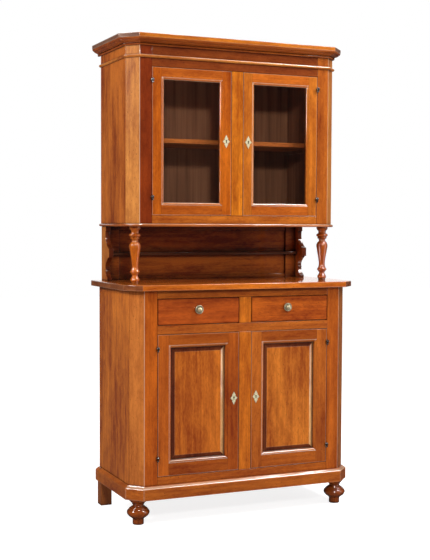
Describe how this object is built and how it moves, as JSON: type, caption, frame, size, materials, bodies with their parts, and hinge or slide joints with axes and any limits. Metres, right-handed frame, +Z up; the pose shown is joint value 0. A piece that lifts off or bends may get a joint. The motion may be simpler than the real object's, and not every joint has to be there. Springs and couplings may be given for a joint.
{
  "type": "dresser with hutch",
  "caption": "Tall two-part wooden dresser: cupboard base with drawers on bun feet, open niche with turned balusters and ledge, glazed hutch with canted corners and cornice.",
  "frame": {"origin": "on the floor, at the middle of the plan rectangle around the whole piece (countertop's front edge to the cornice's back edge)", "axes": "+Z up, +X to the viewer's right when facing the doors, +Y from the doors towards the wall"},
  "size_m": [1.093, 0.52, 2.062],
  "materials": {
    "walnut_stain": "warm orange-brown stain under satin-gloss polish",
    "inner_wood": "dark stained, low sheen, inside of the cupboards",
    "plain_wood": "unfinished secondary timber of drawer boxes, runners and backs",
    "aged_brass": "antique brass, matt in the hollows, bright on the edges",
    "dark_iron": "dark oiled iron, worn bright on the knuckles",
    "clear_glass": "clear polished sheet"
  },
  "bodies": {
    "carcase": {"baluster_left": "walnut_stain", "baluster_right": "walnut_stain", "base_back_boards": "plain_wood", "base_bottom_rail": "walnut_stain", "base_centre_stiles": "walnut_stain", "base_floor": "inner_wood", "base_mid_rail": "walnut_stain", "base_post_left": "walnut_stain", "base_post_right": "walnut_stain", "base_shelf": "inner_wood", "base_side_left": "walnut_stain", "base_side_right": "walnut_stain", "base_top_rail": "walnut_stain", "cornice_board": "walnut_stain", "cornice_moulding": "walnut_stain", "countertop": "walnut_stain", "drawer_runners": "plain_wood", "feet_front": "walnut_stain", "feet_rear": "walnut_stain", "frieze_bead": "walnut_stain", "hutch_back_boards": "inner_wood", "hutch_base_board": "walnut_stain", "hutch_bottom_rail": "walnut_stain", "hutch_centre_stile": "walnut_stain", "hutch_floor": "inner_wood", "hutch_frieze_rail": "walnut_stain", "hutch_lining": "inner_wood", "hutch_post_left": "walnut_stain", "hutch_post_right": "walnut_stain", "hutch_shelf": "inner_wood", "hutch_side_left": "walnut_stain", "hutch_side_right": "walnut_stain", "niche_back": "walnut_stain", "niche_bracket_left": "walnut_stain", "niche_bracket_right": "walnut_stain", "niche_shelf": "walnut_stain", "plinth": "walnut_stain", "post_hinges": "dark_iron"},
    "base_door_left": {"base_door_left_escutcheon": "aged_brass", "base_door_left_frame": "walnut_stain", "base_door_left_ironwork": "dark_iron", "base_door_left_panel": "walnut_stain"},
    "base_door_right": {"base_door_right_escutcheon": "aged_brass", "base_door_right_frame": "walnut_stain", "base_door_right_ironwork": "dark_iron", "base_door_right_panel": "walnut_stain"},
    "drawer_left": {"drawer_left_box": "plain_wood", "drawer_left_front": "walnut_stain", "drawer_left_knob": "aged_brass"},
    "drawer_right": {"drawer_right_box": "plain_wood", "drawer_right_front": "walnut_stain", "drawer_right_knob": "aged_brass"},
    "hutch_door_left": {"hutch_door_left_escutcheon": "aged_brass", "hutch_door_left_frame": "walnut_stain", "hutch_door_left_glass": "clear_glass", "hutch_door_left_ironwork": "dark_iron"},
    "hutch_door_right": {"hutch_door_right_escutcheon": "aged_brass", "hutch_door_right_frame": "walnut_stain", "hutch_door_right_glass": "clear_glass", "hutch_door_right_ironwork": "dark_iron"}
  },
  "joints": [
    {"name": "base_door_left_hinge", "type": "hinge", "parent": "carcase", "child": "base_door_left", "pos_m": [-0.405, -0.2355, 0.509], "axis": [0, 0, -1], "range_deg": [0, 175]},
    {"name": "base_door_right_hinge", "type": "hinge", "parent": "carcase", "child": "base_door_right", "pos_m": [0.405, -0.2355, 0.509], "axis": [0, 0, 1], "range_deg": [0, 175]},
    {"name": "hutch_door_left_hinge", "type": "hinge", "parent": "carcase", "child": "hutch_door_left", "pos_m": [-0.3965, -0.1445, 1.6235], "axis": [0, 0, -1], "range_deg": [0, 175]},
    {"name": "hutch_door_right_hinge", "type": "hinge", "parent": "carcase", "child": "hutch_door_right", "pos_m": [0.3965, -0.1445, 1.6235], "axis": [0, 0, 1], "range_deg": [0, 175]},
    {"name": "drawer_left_slide", "type": "slide", "parent": "carcase", "child": "drawer_left", "axis": [0, -1, 0], "range_m": [0, 0.3]},
    {"name": "drawer_right_slide", "type": "slide", "parent": "carcase", "child": "drawer_right", "axis": [0, -1, 0], "range_m": [0, 0.3]}
  ]
}
